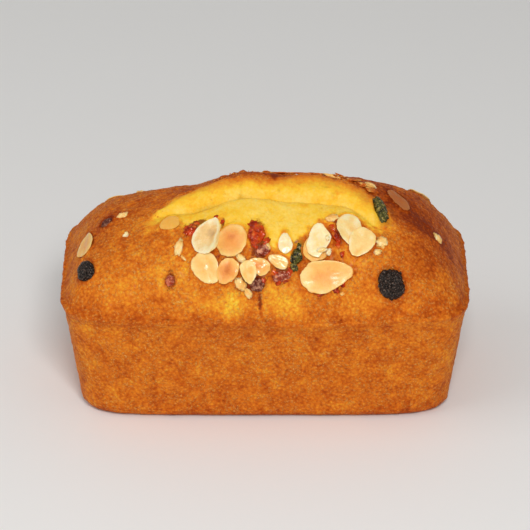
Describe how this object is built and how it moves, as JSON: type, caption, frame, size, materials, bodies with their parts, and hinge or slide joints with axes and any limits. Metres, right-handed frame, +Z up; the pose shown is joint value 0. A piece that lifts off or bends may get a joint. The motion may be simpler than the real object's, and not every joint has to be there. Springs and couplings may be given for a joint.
{
  "type": "fruit cake loaf",
  "caption": "Loaf-shaped fruit cake with a domed, burst golden crust, flaked almonds and pieces of fruit.",
  "frame": {"origin": "middle of the flat base", "axes": "+X along the loaf to the right as seen from its shown side, -Y towards that side, +Z up"},
  "size_m": [0.158, 0.084, 0.0891],
  "materials": {
    "cake": "golden brown baked crust, matte with a slight sheen",
    "almond": "toasted flaked almond, satin",
    "raisin": "dark wrinkled dried fruit, glossy",
    "red_fruit": "candied red fruit, glossy",
    "green_fruit": "candied green fruit, glossy"
  },
  "bodies": {
    "root": {"almond_1": "almond", "almond_10": "almond", "almond_11": "almond", "almond_12": "almond", "almond_13": "almond", "almond_14": "almond", "almond_15": "almond", "almond_16": "almond", "almond_17": "almond", "almond_18": "almond", "almond_19": "almond", "almond_2": "almond", "almond_20": "almond", "almond_21": "almond", "almond_22": "almond", "almond_23": "almond", "almond_3": "almond", "almond_4": "almond", "almond_5": "almond", "almond_6": "almond", "almond_7": "almond", "almond_8": "almond", "almond_9": "almond", "green_fruit_1": "green_fruit", "green_fruit_2": "green_fruit", "green_fruit_3": "green_fruit", "loaf": "cake", "raisin_1": "raisin", "raisin_2": "raisin", "raisin_3": "raisin", "raisin_4": "raisin", "raisin_5": "raisin", "raisin_6": "raisin", "red_fruit_1": "red_fruit", "red_fruit_2": "red_fruit", "red_fruit_3": "red_fruit", "red_fruit_4": "red_fruit", "red_fruit_5": "red_fruit", "red_fruit_6": "red_fruit", "red_fruit_7": "red_fruit"}
  },
  "joints": []
}
